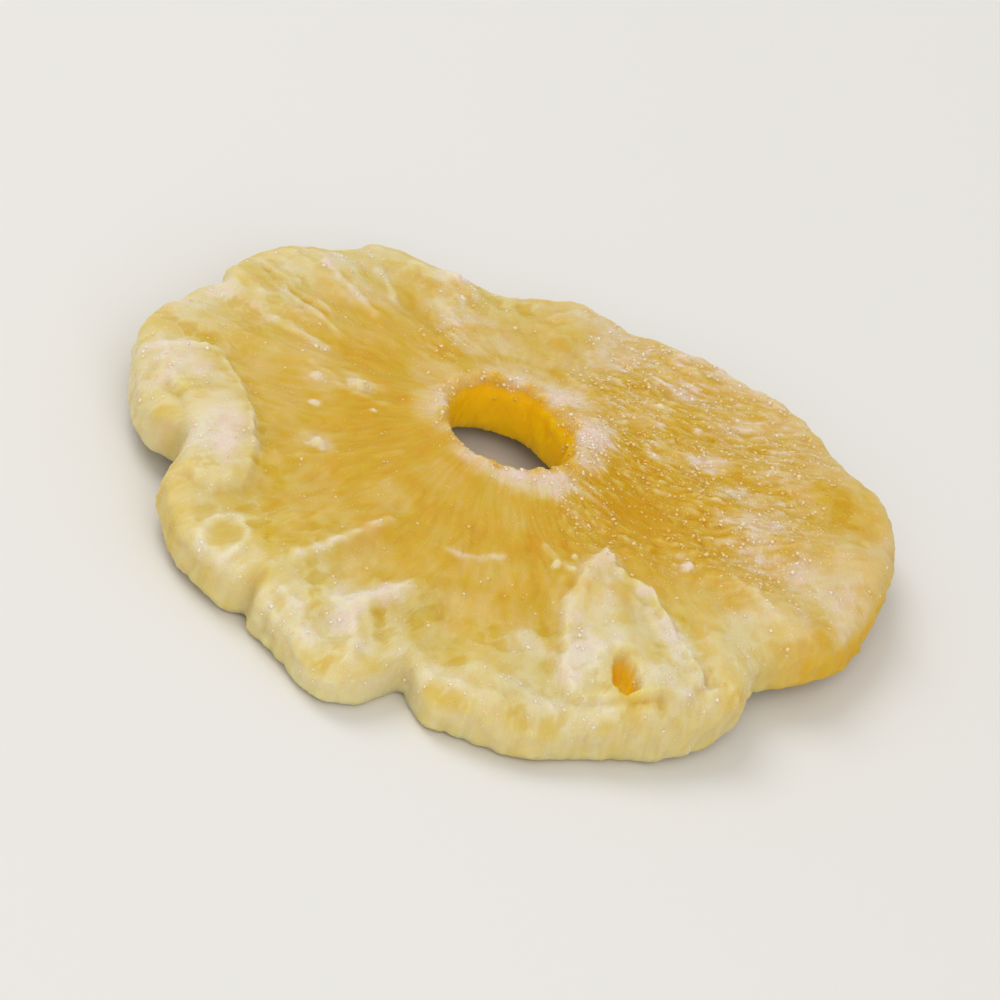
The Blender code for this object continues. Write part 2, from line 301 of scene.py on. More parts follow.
# Places whose paleness differs: centre, half widths, turn in degrees, paleness. They were picked in the
# photograph, and a good part of the values comes from the mean blue of its pixels there
PATCHES = (
    # Clear gold between the core and the rim
    ((-14.4, 0.6), (3.6, 3.2), 0, 0.16),
    ((-14.2, -8.3), (4.4, 4.0), 0, 0.20),
    ((-19.3, -13.7), (3.4, 3.6), 0, 0.33),
    ((-16.4, -20.7), (4.0, 3.2), 0, 0.35),
    ((-7.0, -13.2), (3.8, 3.8), 0, 0.26),
    ((-0.2, -7.9), (3.8, 3.2), 0, 0.29),
    ((7.0, -5.2), (3.0, 3.2), 0, 0.24),
    ((-3.9, -20.4), (3.8, 3.4), 0, 0.28),
    ((2.0, -18.5), (2.8, 3.6), 0, 0.33),
    ((6.4, -19.6), (1.8, 4.2), 15, 0.28),
    ((-1.0, -25.2), (3.6, 3.2), 0, 0.40),
    ((-10.6, -12.0), (2.4, 2.2), 0, 0.40),
    ((-6.8, -6.4), (2.4, 2.0), 0, 0.34),
    ((1.9, -30.6), (2.6, 2.6), 0, 0.36),
    ((3.0, -35.2), (2.2, 1.8), 0, 0.68),
    ((-0.4, -35.9), (2.2, 1.6), 0, 0.76),
    ((-19.7, -25.2), (2.2, 1.8), 0, 0.31),
    ((-5.3, -30.2), (2.8, 3.4), 0, 0.45),
    ((-19.3, 14.8), (3.2, 2.4), 0, 0.36),
    ((-13.7, 18.4), (2.6, 3.6), 0, 0.33),
    ((-14.1, 7.8), (2.8, 2.0), 0, 0.20),
    ((-23.7, 6.9), (3.4, 2.6), 0, 0.45),
    ((-23.9, -4.9), (2.4, 3.6), 0, 0.36),
    ((-2.9, 29.0), (3.2, 4.2), 0, 0.40),
    ((-8.3, 28.7), (2.2, 2.8), 0, 0.57),
    ((3.5, 23.7), (3.4, 2.4), 0, 0.50),
    ((14.3, -0.4), (3.8, 3.0), 0, 0.04),
    ((12.8, -6.2), (2.8, 2.8), 0, 0.24),
    ((20.5, -1.6), (3.0, 3.0), 0, 0.26),
    ((17.3, 4.5), (3.2, 3.6), 0, 0.27),
    ((22.5, -9.0), (3.0, 3.0), 0, 0.38),
    # Left: the raised band and the rim below it
    ((-36.3, -3.2), (2.6, 4.8), 0, 0.88),
    ((-31.6, -3.2), (1.7, 1.9), 0, 0.80),
    ((-31.3, -7.0), (2.2, 1.8), 0, 0.58),
    ((-35.5, -9.6), (2.8, 2.2), 0, 0.58),
    ((-34.2, -12.5), (2.4, 2.8), 0, 0.75),
    ((-29.3, -13.3), (3.4, 5.0), 0, 0.88),
    ((-28.7, -21.3), (2.6, 3.4), 0, 0.66),
    ((-24.6, -19.7), (1.4, 2.8), 0, 0.48),
    ((-29.7, -25.8), (1.4, 4.0), 0, 0.60),
    ((-24.8, -26.7), (1.5, 2.2), 0, 0.36),
    # Front left: specks, the star of folds, the rim
    ((-23.5, -30.9), (1.4, 1.9), 0, 0.84),
    ((-21.6, -29.4), (1.0, 2.1), 0, 0.62),
    ((-18.7, -30.4), (1.8, 1.8), 0, 0.55),
    ((-16.3, -33.1), (2.2, 2.4), 0, 0.70),
    ((-15.5, -36.8), (2.0, 2.2), 0, 0.70),
    ((-12.4, -36.4), (2.4, 2.2), 0, 0.80),
    ((-10.9, -32.6), (2.2, 4.0), 0, 0.78),
    ((-7.5, -28.0), (2.8, 1.4), 48, 0.74),
    ((-7.3, -35.8), (1.6, 1.6), 0, 0.80),
    ((-9.0, -39.8), (2.0, 2.4), 0, 0.60),
    ((-3.8, -35.2), (2.6, 2.2), 0, 0.78),
    ((-5.8, -32.8), (2.0, 1.9), 0, 0.66),
    # Front: the rim and its white tongue
    ((5.1, -37.5), (2.0, 1.8), 0, 0.60),
    ((7.3, -27.2), (2.0, 3.2), 0, 0.68),
    ((9.4, -33.2), (1.8, 2.0), 0, 0.66),
    ((14.8, -34.4), (4.6, 1.7), 5, 0.88),
    ((18.6, -34.9), (1.4, 1.2), 0, 0.57),
    ((24.2, -29.2), (3.4, 1.7), 38, 0.76),
    # The raised flap in front
    ((12.4, -27.2), (1.5, 5.0), 3, 0.84),
    ((13.6, -24.4), (1.5, 1.8), 0, 0.95),
    ((10.9, -20.8), (1.2, 3.0), 0, 0.76),
    ((11.9, -13.9), (1.9, 3.0), 0, 0.66),
    ((13.5, -19.4), (1.7, 2.8), 0, 0.75),
    ((15.0, -22.5), (2.0, 1.5), 0, 0.74),
    ((17.3, -19.3), (1.7, 3.4), 15, 0.68),
    ((17.1, -14.3), (1.5, 1.1), 0, 0.70),
    ((21.3, -19.6), (1.8, 4.2), 35, 0.78),
    ((21.6, -26.2), (2.6, 2.4), 0, 0.75),
    ((14.5, -30.8), (1.5, 2.6), 0, 0.75),
    # Right: pale streaked flesh, the white rim, a clear golden corner
    ((25.9, -23.8), (1.6, 2.2), 0, 0.60),
    ((29.4, -17.8), (3.0, 3.2), 0, 0.84),
    ((28.4, -16.2), (3.4, 2.6), 0, 0.65),
    ((27.9, -12.2), (2.2, 1.6), 0, 0.68),
    ((31.8, -16.4), (2.0, 1.8), 0, 0.74),
    ((33.0, -12.9), (1.8, 2.0), 0, 0.54),
    ((35.5, -9.9), (1.6, 2.4), 0, 0.36),
    ((32.0, -1.6), (3.2, 2.8), 20, 0.70),
    ((35.7, 1.2), (1.5, 1.7), 0, 0.58),
    ((36.4, -3.2), (1.7, 3.8), 10, 0.80),
    ((25.9, 4.8), (3.4, 2.0), 20, 0.72),
    ((26.3, 1.2), (3.0, 1.2), 20, 0.58),
    ((25.8, -1.6), (2.4, 1.6), 20, 0.58),
    ((23.6, 9.6), (2.4, 1.8), 20, 0.68),
    ((33.0, 13.0), (3.8, 4.4), 0, 0.23),
    ((35.0, 7.8), (2.6, 2.5), 0, 0.44),
    ((27.6, 12.6), (3.0, 2.8), 0, 0.44),
    ((25.5, 15.2), (3.0, 1.2), 20, 0.53),
    # Back right
    ((10.6, 18.3), (3.4, 4.4), 0, 0.47),
    ((15.3, 12.3), (2.8, 2.6), 0, 0.42),
    ((18.5, 13.6), (2.2, 1.9), 0, 0.70),
    ((14.8, 27.1), (2.6, 2.2), 0, 0.64),
    ((10.4, 29.6), (2.4, 2.0), 0, 0.60),
    ((5.6, 28.4), (2.4, 2.4), 0, 0.72),
    ((18.8, 28.0), (3.0, 2.4), 0, 0.47),
    ((18.5, 33.0), (2.8, 1.6), -20, 0.72),
    ((22.7, 31.6), (1.6, 1.4), -40, 0.64),
    ((21.8, 23.2), (3.4, 1.8), 20, 0.58),
    ((22.2, 19.9), (3.0, 1.5), 20, 0.43),
    ((4.8, 35.4), (2.8, 2.2), 0, 0.80),
    ((7.0, 31.9), (3.0, 1.9), 0, 0.68),
    ((13.4, 34.4), (2.2, 1.7), 0, 0.71),
    # Behind the hole and back left
    ((-1.0, 22.3), (2.2, 2.0), 0, 0.46),
    ((-5.0, 23.0), (2.4, 2.4), 0, 0.62),
    ((-8.3, 20.2), (1.9, 2.6), 0, 0.58),
    ((-10.9, 26.2), (2.2, 2.8), 0, 0.68),
    ((-18.4, 30.4), (3.4, 2.2), 0, 0.60),
    ((-20.4, 23.6), (3.2, 2.6), 0, 0.60),
    ((-27.6, 23.8), (2.6, 2.2), 0, 0.64),
    # Round the lumps of sugar
    ((-21.0, 3.0), (1.6, 2.0), 0, 0.54),
    ((-17.1, 5.0), (1.9, 1.5), 0, 0.62),
    ((-19.2, -6.6), (1.7, 1.4), 0, 0.60),
    # Back left
    ((-13.2, 32.9), (3.0, 1.2), 0, 0.74),
    ((-19.9, 34.2), (2.4, 1.5), 0, 0.68),
    ((-24.8, 27.6), (3.2, 1.8), 35, 0.74),
    ((-27.9, 16.2), (3.4, 3.0), 0, 0.58),
    ((-34.2, 15.0), (1.9, 2.6), 0, 0.86),
    ((-36.2, 9.8), (1.9, 2.6), 0, 0.78),
    ((-33.2, 7.1), (3.2, 1.9), 0, 0.57),
    ((-34.2, 3.6), (4.0, 1.0), 0, 0.47),
    # The lip of the hole and the crumbs behind it
    ((-1.8, 18.4), (4.0, 1.5), 0, 0.52),
    ((4.3, 16.9), (2.6, 1.4), -30, 0.54),
    ((-3.0, 15.6), (3.8, 1.7), 0, 0.62),
    ((2.9, 14.8), (2.8, 2.0), -30, 0.90),
    ((7.1, 9.6), (1.8, 3.4), 0, 0.98),
    ((7.4, 4.3), (1.6, 2.2), 0, 0.66),
    ((4.9, -2.0), (2.9, 1.7), 30, 0.80),
    ((0.5, -3.6), (2.6, 1.4), 0, 0.74),
    ((-3.9, -2.4), (2.0, 1.4), -25, 0.58),
    ((-9.7, 5.1), (1.6, 3.4), 0, 0.58),
    ((-10.2, 12.4), (2.6, 2.6), 0, 0.50),
)


def lattice_noise(points, seed):
    """Smooth noise from about -1 to 1 at each row of points, with lumps about one unit wide."""
    rng = np.random.default_rng(seed)
    table = rng.permutation(256)
    slopes = rng.normal(size=(256, 3))
    slopes /= np.linalg.norm(slopes, axis=1)[:, None]
    base = np.floor(points).astype(int)
    part = points - base
    blend = part * part * part * (part * (part * 6 - 15) + 10)
    total = np.zeros(len(points))
    for corner in np.ndindex(2, 2, 2):
        cell = base + corner
        index = table[(table[(table[cell[:, 0] & 255] + cell[:, 1]) & 255] + cell[:, 2]) & 255]
        weight = np.prod(np.where(corner, blend, 1 - blend), axis=1)
        total += weight * np.einsum("ij,ij->i", slopes[index], part - corner)
    return 1.6 * total


def random_cells(points, seed):
    """Random cells about one unit wide: each point's distance from a wall and its cell's value, -1 to 1."""
    rng = np.random.default_rng(seed)
    table = rng.permutation(256)
    jitter = rng.random((256, 2))
    values = 2 * rng.random(256) - 1
    base = np.floor(points).astype(int)
    first = np.full(len(points), 9.0)
    second = np.full(len(points), 9.0)
    own = np.zeros(len(points))
    for dx in (-1, 0, 1):
        for dy in (-1, 0, 1):
            cell = base + (dx, dy)
            index = table[(table[cell[:, 0] & 255] + cell[:, 1]) & 255]
            away = np.linalg.norm(cell + jitter[index] - points, axis=1)
            own = np.where(away < first, values[index], own)
            second = np.minimum(second, np.maximum(first, away))
            first = np.minimum(first, away)
    return second - first, own


def noise_at(x, y, z, size, seed):
    """The part's own smooth noise, with lumps of the given size."""
    offset = 37.0 * seed
    return np.array([
        noise.noise(Vector((px / size + offset, py / size - offset, pz / size + offset)))
        for px, py, pz in zip(x, y, z)
    ])


def swell(distance, half_width):
    """A round hump: 1 at its middle, nearly gone at twice its half width."""
    return np.exp(-((distance / half_width) ** 2))


def ease(value, start, end):
    """0 before start, 1 after end, and a smooth rise between them."""
    t = np.clip((value - start) / (end - start), 0, 1)
    return t * t * (3 - 2 * t)


def lobed_radius(angle, radius, lobes):
    """Distance of a lobed outline from its centre, in each direction."""
    result = np.full_like(angle, radius)
    for at, height, half_width in lobes:
        off = (np.degrees(angle) - at + 180) % 360 - 180
        result += height * swell(off, half_width)
    return result


def distance_to_line(x, y, line):
    """Distance of each point from the line through some corners."""
    nearest = np.full_like(x, np.inf)
    for (ax, ay), (bx, by) in zip(line, line[1:]):
        dx, dy = bx - ax, by - ay
        along = np.clip(((x - ax) * dx + (y - ay) * dy) / (dx * dx + dy * dy), 0, 1)
        nearest = np.minimum(nearest, np.hypot(x - ax - along * dx, y - ay - along * dy))
    return nearest


def distance_inside(x, y, corners):
    """Distance of each point from an outline: above 0 inside it, below 0 outside."""
    inside = np.zeros(x.shape, bool)
    loop = corners + corners[:1]
    for (ax, ay), (bx, by) in zip(loop, loop[1:]):
        if ay != by:
            crossing = ax + (y - ay) * (bx - ax) / (by - ay)
            inside ^= ((ay > y) != (by > y)) & (x < crossing)
    return np.where(inside, 1, -1) * distance_to_line(x, y, loop)


def arch(x, y):
    """Height that drying has lifted the ring by: highest along its middle from side to side."""
    fall = 1 - ARCH_FALL_SIDEWAYS * (x / RIM_RADIUS) ** 2
    return ARCH_RISE * np.maximum(1 - (y / ARCH_HALF_SPAN) ** 2, 0) * fall


def flutes(angle, share, seed):
    """Swellings of the fruitlets, which spread from the core to the rim."""
    wander = noise_at(np.cos(angle), np.sin(angle), share, 0.45, seed)
    wave = np.sin(FRUITLETS * angle + 2.2 * wander)
    return FLUTE_HEIGHT * wave * ease(share, 0.2, 0.75)


def section():
    """(across, up) from -1 to 1 round the section, from the rim's upper edge over the top to the hole."""
    runs = (TOP_STEPS, HOLE_WALL_STEPS, UNDERSIDE_STEPS, RIM_WALL_STEPS)
    corners = (
        (1, 1, RIM_EDGE_ACROSS),
        (-1, 1, HOLE_EDGE_ACROSS),
        (-1, -1, HOLE_EDGE_ACROSS),
        (1, -1, RIM_EDGE_ACROSS),
    )
    edges = []
    for quarter, (side, level, rounding) in enumerate(corners):
        turns = [radians(90 * (quarter + step / EDGE_STEPS)) for step in range(EDGE_STEPS + 1)]
        edges.append([
            (side * (1 - rounding) + rounding * cos(t), level * (1 - EDGE_UP) + EDGE_UP * sin(t))
            for t in turns
        ])
    points = []
    for quarter, steps in enumerate(runs):
        points += edges[quarter]
        (ax, ay), (bx, by) = edges[quarter][-1], edges[(quarter + 1) % 4][0]
        points += [(ax + (bx - ax) * s / steps, ay + (by - ay) * s / steps) for s in range(1, steps)]
    return np.array(points)


class Flesh:
    """The fine mesh's vertices, in millimetres, with what the materials and the sugar need to know."""

    def __init__(self):
        profile = section()
        self.steps = len(profile)
        self.angle = np.repeat(2 * pi * np.arange(AROUND) / AROUND, self.steps)
        self.up = np.tile(profile[:, 1], AROUND)
        self.share = np.tile((profile[:, 0] + 1) / 2, AROUND)
        self.zero = np.zeros_like(self.angle)
        self.place_outline()
        self.find_fibres()
        self.find_small_forms()
        self.find_paleness()
        self.find_tint()
        high = self.upper_face()
        low = self.underside()
        z = low + (high - low) * (self.up + 1) / 2
        self.points = np.stack([self.x - OUTLINE_MIDDLE[0], self.y - OUTLINE_MIDDLE[1], z], axis=1)

    def round_wall(self, radius):
        """Places on a round wall, for noise that follows it round and up."""
        angle, up = self.angle, self.up
        return np.stack([radius * np.cos(angle), radius * np.sin(angle), HALF_WALL * up], axis=1)

    def place_outline(self):
        """Where each vertex lies seen from above, between the ragged outlines of the hole and the rim."""
        angle, up = self.angle, self.up
        rim = lobed_radius(angle, RIM_RADIUS, RIM_LOBES)
        rim += RIM_ROUGHNESS * noise_at(30 * np.cos(angle), 30 * np.sin(angle), 1.5 * up, 4.0, 7)
        rim_wall = self.round_wall(RIM_RADIUS)
        self.rim_place = rim_wall * (1, 1, 0.5)
        rim += (
            RIM_NOTCHES * lattice_noise(rim_wall / 1.7, 11)
            + RIM_NICKS * lattice_noise(rim_wall / 0.7, 12)
        )
        rim += WALL_NICKS * lattice_noise(self.rim_place, 15) * ease(-up, -0.9, 0.2)
        hole = lobed_radius(angle, HOLE_RADIUS, HOLE_LOBES)
        hole_wall = self.round_wall(HOLE_RADIUS)
        hole += (
            HOLE_NOTCHES * lattice_noise(hole_wall / 1.5, 13)
            + HOLE_NICKS * lattice_noise(hole_wall / 0.6, 14)
        )
        hole_x = HOLE_CENTRE[0] + hole * np.cos(angle)
        hole_y = HOLE_CENTRE[1] + hole * np.sin(angle)
        self.x = hole_x + self.share * (rim * np.cos(angle) - hole_x)
        self.y = hole_y + self.share * (rim * np.sin(angle) - hole_y)
        self.flat = np.stack([self.x, self.y, self.zero], axis=1)

    def mottle(self, size, seed):
        """Smooth noise over the ring as seen from above, with lumps about size wide."""
        return lattice_noise(self.flat / size, seed)

    def away_from(self, place):
        """Distance of each vertex from a place, seen from above."""
        return np.hypot(self.x - place[0], self.y - place[1])

    def find_fibres(self):
        """Where fibres run, and where the flesh is busy with short ones.

        They spread from the core, but at the right they lie across, along a line that bends.
        """
        x, y = self.x, self.y
        turned = self.angle + FIBRE_WANDER * self.mottle(9.0, 21)
        across_x, across_y = FIBRE_RADIUS * np.cos(turned), FIBRE_RADIUS * np.sin(turned)
        self.fibre = np.stack([across_x, across_y, FIBRE_LENGTH * self.share], axis=1)
        bend = np.clip(x - CROSSING_FROM, 0, CROSSING_TO - CROSSING_FROM)
        rise = CROSSING_BEND * bend * bend + CROSSING_END_SLOPE * np.maximum(x - CROSSING_TO, 0)
        rise -= CROSSING_FALL * (x - CROSSING_FROM)
        self.crossing = np.stack([x, y - rise + CROSSING_WANDER * self.mottle(6.0, 22), self.zero], axis=1)
        self.crosswise = ease(x, 3, 9) * ease(y, -14, -5)
        calmer_rim = 1 - 0.6 * ease(self.share, 0.75, 1)
        self.busy = ease(x, 1, 9) * ease(y, -13, -3) * (1 - ease(x, 27, 35)) * calmer_rim
        self.busy *= 1 - 0.8 * swell(self.away_from(DEEP_GOLD), 4.0)
        self.busy = np.maximum(self.busy, 0.6 * swell(x - ROUGH_LINE_X, 2.2) * ease(y, 12, 18))

    def strokes(self, long, short, seed):
        """Noise drawn out along the fibres."""
        spread = lattice_noise(self.fibre / (1.6 * short, 1.6 * short, long * 0.22), seed)
        across = lattice_noise(self.crossing / (long, short, 1), seed + 1)
        return spread + self.crosswise * (across - spread)

    def find_small_forms(self):
        """The small forms that both the paleness and the relief follow."""
        x, y, share = self.x, self.y, self.share
        self.patchy = np.clip(0.85 + 0.8 * self.mottle(1.5, 44), 0.4, 1.3)
        self.ragged = 0.55 * self.mottle(2.6, 51) + 0.3 * self.mottle(1.1, 52)
        self.crumbs = self.mottle(0.65, 55)
        self.warped_x = x + 0.35 * self.mottle(1.6, 45)
        self.warped_y = y + 0.35 * self.mottle(1.6, 46)
        self.streaks = [
            (distance_to_line(self.warped_x, self.warped_y, line), *rest) for line, *rest in STREAKS
        ]
        self.flaps = [
            (distance_inside(x, y, corners) + 0.8 * self.ragged, crest) for corners, crest in FLAPS
        ]
        self.cell_wall = swell(self.from_cell_wall(), CELL_WALL_HALF_WIDTH)
        self.pit = self.eye_pit()
        self.lip = (1 - ease(share, 0.04, 0.11)) * ease(self.up, 0.6, 0.95)
        warped = self.flat[:, :2] / 1.5 + 0.3 * self.mottle(1.2, 35)[:, None]
        self.network = 1 - ease(random_cells(warped, 36)[0], 0.05, 0.3)
        self.dry = ease(share, 0.45, 0.8) * (1 - self.busy)
        bent = self.flat[:, :2] / FACET_SIZE + 0.4 * self.mottle(1.5, 53)[:, None]
        self.from_facet_edge, own = random_cells(bent, 54)
        self.facets = own * ease(self.from_facet_edge, 0.0, 0.2)
        self.flakes = ease(0.8 * self.strokes(2.0, 0.65, 50) + 0.6 * self.mottle(0.9, 52), 0.05, 0.5)

    def from_cell_wall(self):
        """Distance from the wall of the outlined pulp cell."""
        (cx, cy), (wide, high) = CELL
        away = (np.hypot((self.x - cx) / wide, (self.y - cy) / high) - 1) * (wide + high) / 2
        return away + 0.5 * self.mottle(2.2, 47)

    def eye_pit(self):
        """1 on the eye pit's floor and 0 outside it: a slot with slanted walls, pointed at one end."""
        px, py = self.x - EYE_PIT_CENTRE[0], self.y - EYE_PIT_CENTRE[1]
        along = (px * cos(EYE_PIT_TURN) + py * sin(EYE_PIT_TURN)) / (EYE_PIT_LENGTH / 2)
        across = (py * cos(EYE_PIT_TURN) - px * sin(EYE_PIT_TURN)) / (EYE_PIT_WIDTH / 2)
        narrowing = 1 - 0.35 * np.clip(along, -1, 1)
        away = np.hypot(along, across / narrowing) + 0.16 * self.mottle(1.3, 41)
        return 1 - ease(away, EYE_PIT_FLOOR_SHARE, 1.0)

    def find_paleness(self):
        """How pale the flesh is, from 0 for clear gold to 1 for white, and where a glow is painted on:
        bright gold in place of light shining through the flesh where it lies in shade.
        """
        pale = PALE_AT_HOLE + PALER_AT_RIM * ease(self.share, 0.25, 1.0)
        wavy_x = self.x + 0.8 * self.mottle(2.6, 38) + 0.45 * self.mottle(0.9, 39)
        wavy_y = self.y + 0.8 * self.mottle(2.6, 40) + 0.45 * self.mottle(0.9, 41)
        for (cx, cy), (wide, high), turn, target in PATCHES:
            px, py = wavy_x - cx, wavy_y - cy
            c, s = cos(radians(turn)), sin(radians(turn))
            along = (px * c + py * s) / (PATCH_REACH * wide)
            across = (py * c - px * s) / (PATCH_REACH * high)
            pale += (target - pale) * np.exp(-(along * along + across * across) ** PATCH_FALL)
        for away, _, half_width, white in self.streaks:
            pale += white * self.patchy * np.exp(-((away / (1.35 * half_width)) ** 3))
        for (cx, cy), radius, _ in LUMPS:
            away = np.hypot(self.warped_x - cx, self.warped_y - cy) / radius + 0.5 * self.crumbs
            pale += (PALE_LUMP - pale) * (1 - ease(away, 0.7, 1.3))
        pale += CELL_WALL_PALER * self.patchy * self.cell_wall
        for inside, _ in self.flaps:
            # Painted shade: the band just outside each flap's edge is made darker gold
            flap_foot_shade = ease(inside, -1.8, -0.4) * (1 - ease(inside, -0.4, 0))
            pale += FLAP_PALER * ease(inside, -0.3, 0.3) - FLAP_FOOT_PAINTED_SHADE * flap_foot_shade
        pale += self.lip * (LIP_PALER + 0.26 * self.mottle(1.6, 31))
        pale = self.add_texture(pale)
        pale += (PALE_PIT - pale) * ease(self.pit, 0.25, 0.8)
        pale -= DEEP_GOLD_CLEARER * swell(self.away_from(DEEP_GOLD), 3.8)
        self.wall = ease(self.share, 0.955, 1.0) * (1 - ease(self.up, 0.2, 0.9))
        # Painted shade: the golden strip makes the right side of the rim's wall, away from the key light,
        # clear gold
        golden = swell((np.degrees(self.angle) + 180) % 360 - 180 - PAINTED_SHADE_STRIP[0], PAINTED_SHADE_STRIP[1])
        pale += self.wall * (self.wall_paleness(golden) - pale)
        core = (1 - ease(self.share, 0.01, 0.04)) * (1 - ease(self.up, 0.7, 0.97))
        pale += core * (PALE_CORE - pale)
        # Painted glow: the hole's wall, the pit and the golden strip are mixed towards a bright gold that
        # stands in for light through the flesh in their shade
        self.painted_glow = np.maximum(core, PIT_PAINTED_GLOW * ease(self.pit, 0.2, 0.8))
        self.painted_glow = np.maximum(self.painted_glow, STRIP_PAINTED_GLOW * self.wall * golden)
        self.pale = np.clip(pale, 0, 1)

    def add_texture(self, pale):
        """The paleness with its mottling, facets, fibres and flakes."""
        busy = self.busy
        pale += 0.06 * self.mottle(5.0, 32) + 0.08 * self.mottle(2.0, 33)
        pale += NETWORK_PALER * (self.network - 0.3) * busy
        facet_edges = 1 - ease(self.from_facet_edge, 0.0, 0.14)
        pale += self.dry * (FACET_PALER * self.facets + FACET_EDGE_PALER * facet_edges)
        pale += (FIBRE_PALER[0] + FIBRE_PALER[1] * busy) * self.strokes(3.0, 0.8, 34)
        pale += (FINE_FIBRE_PALER[0] + FINE_FIBRE_PALER[1] * busy) * self.strokes(1.6, 0.45, 42)
        pale += busy * (FLAKE_PALER * self.flakes - 0.10)
        return pale

    def wall_paleness(self, golden):
        """Paleness of the rim's wall: even, but for a golden strip, which is painted shade, and a few swells
        round it.
        """
        pale = PALE_WALL - PALE_WALL * golden
        for at, change, half_width in WALL_CHANGES:
            pale += change * swell(np.degrees(self.angle) - at, half_width)
        pale += 0.10 * lattice_noise(self.rim_place / 2.2, 43)
        pale += 0.10 * lattice_noise(self.rim_place / (0.7, 0.7, 2.0), 57)
        return pale

    def find_tint(self):
        """The flesh's cast, from 0 for lemon to 1 for pink."""
        x, y, share = self.x, self.y, self.share
        lemon = 0.5 * ease(share, 0.5, 0.95) * (1 - ease(x + 0.4 * y, 4, 22))
        lemon += 0.25 * ease(share, 0.6, 1) * ease(-y, 14, 26)
        for place, amount, half_width in LEMON_SPOTS:
            lemon += amount * swell(self.away_from(place), half_width)
        lemon *= 1 - 0.6 * self.wall * ease(y, -5, 12)
        pink = 0.45 * self.busy * ease(self.pale, 0.15, 0.5)
        pink += 0.5 * self.lip + 0.35 * ease(self.pale, 0.75, 0.95)
        tint = 0.5 - lemon + pink + 0.45 * self.mottle(3.2, 48)
        tint += 0.6 * self.busy * self.mottle(0.9, 58)
        self.tint = np.clip(tint + 0.25 * self.mottle(1.2, 49), 0, 1)

    def upper_face(self):
        """Height of the upper face: the part's own shape, then what only the fine mesh has."""
        x, y, share = self.x, self.y, self.share
        height = arch(x, y) + THICKNESS
        height += RIM_CROWN * swell(share - 0.86, 0.16) + HOLE_LIP * swell(share - 0.07, 0.09)
        height += LIP_CREST * swell(share - 0.045, 0.03) * (1 + self.mottle(1.8, 56))
        height += flutes(self.angle, share, 1)
        height += (
            SWELLING * noise_at(x, y, self.zero, 11.0, 2)
            + WRINKLE * noise_at(x, y, self.zero, 4.2, 3)
        )
        for line, crest, half_width in FOLDS:
            height += crest * swell(distance_to_line(x, y, line) + 0.5 * self.ragged, half_width)
        for inside, crest in self.flaps:
            height += crest * ease(inside, -FLAP_EDGE / 2, FLAP_EDGE / 2)
        for centre, depth, half_width in POCKETS:
            height -= depth * swell(self.away_from(centre), half_width)
        for away, crest, half_width, _ in self.streaks:
            height += crest * self.patchy * swell(away + 0.3 * self.ragged, half_width)
        for centre, radius, crest in LUMPS:
            off = self.away_from(centre) / radius + 0.5 * self.ragged
            height += crest * (1 - ease(off, 0.3, 1.2)) * (1 + 0.5 * self.crumbs)
        height += CELL_WALL_CREST * self.patchy * self.cell_wall
        height -= EYE_PIT_DEPTH * self.pit
        return height + self.fine_relief()

    def fine_relief(self):
        """Fibres, pulp cells and sugar crust: what is finer than the part's own faces."""
        busy = self.busy
        grown = ease(self.share, 0.04, 0.35)
        fibres = FIBRE_RELIEF * self.strokes(3.4, 1.1, 61) + FINE_FIBRE_RELIEF * self.strokes(1.8, 0.5, 63)
        shown = 0.3 + 0.7 * ease(self.mottle(8.0, 65), -0.4, 0.4)
        pulp = np.stack([self.angle * 30 / PULP_CELL[0], self.share * 31 / PULP_CELL[1]], axis=1)
        cells = ease(random_cells(pulp + 0.2 * self.mottle(2.5, 66)[:, None], 67)[0], 0.0, 0.35)
        crust = ease(self.pale, 0.45, 0.85)
        grain = 0.05 * np.abs(self.mottle(0.9, 68)) + 0.03 * self.mottle(0.55, 69)
        relief = grown * (fibres * (shown + busy) + PULP_RELIEF * cells * (1 - crust))
        relief += (0.2 + 0.8 * crust + self.lip + busy) * grain + NETWORK_RELIEF * self.network * busy
        relief += LIP_RELIEF * self.lip * self.mottle(1.5, 70) + FLAKE_RELIEF * busy * self.flakes
        relief += FACET_RELIEF * self.dry * self.facets
        return relief + PLAIN_RELIEF * self.mottle(1.8, 71)

    def underside(self):
        """Height of the underside, which is flat on the table only at the front and back."""
        x, y, share = self.x, self.y, self.share
        relief = 0.5 * flutes(self.angle, share, 4) + 0.6 * SWELLING * noise_at(x, y, self.zero, 9.0, 5)
        relief += WRINKLE * noise_at(x, y, self.zero, 4.0, 6)
        relief += UNDER_FIBRE_RELIEF * lattice_noise(self.fibre / (0.9, 0.9, 1.2), 73)
        relief += UNDER_RELIEF * self.mottle(2.2, 74)
        lifted = 1 - ease(np.abs(y), FEET_FROM - 10, FEET_FROM)
        return np.maximum(arch(x, y) - FOOT_DEPTH + relief * lifted, 0)

    def quads(self):
        """The mesh's faces, each facing out."""
        i = np.arange(AROUND)[:, None] * self.steps
        j = np.arange(self.steps)[None, :]
        i_next = (i + self.steps) % (AROUND * self.steps)
        j_next = (j + 1) % self.steps
        return np.stack([i + j, i_next + j, i_next + j_next, i + j_next], axis=2).reshape(-1, 4)


def mesh_from(name, points, faces):
    """A mesh object from points in millimetres and faces that all have the same number of corners."""
    corners = faces.shape[1]
    mesh = bpy.data.meshes.new(name)
    mesh.vertices.add(len(points))
    mesh.vertices.foreach_set("co", (points * MM).astype(np.float32).ravel())
    mesh.loops.add(faces.size)
    mesh.loops.foreach_set("vertex_index", faces.astype(np.int32).ravel())
    mesh.polygons.add(len(faces))
    mesh.polygons.foreach_set("loop_start", np.arange(0, faces.size, corners, dtype=np.int32))
    mesh.update(calc_edges=True)
    mesh.validate()
    obj = bpy.data.objects.new(name, mesh)
    bpy.context.scene.collection.objects.link(obj)
    return obj


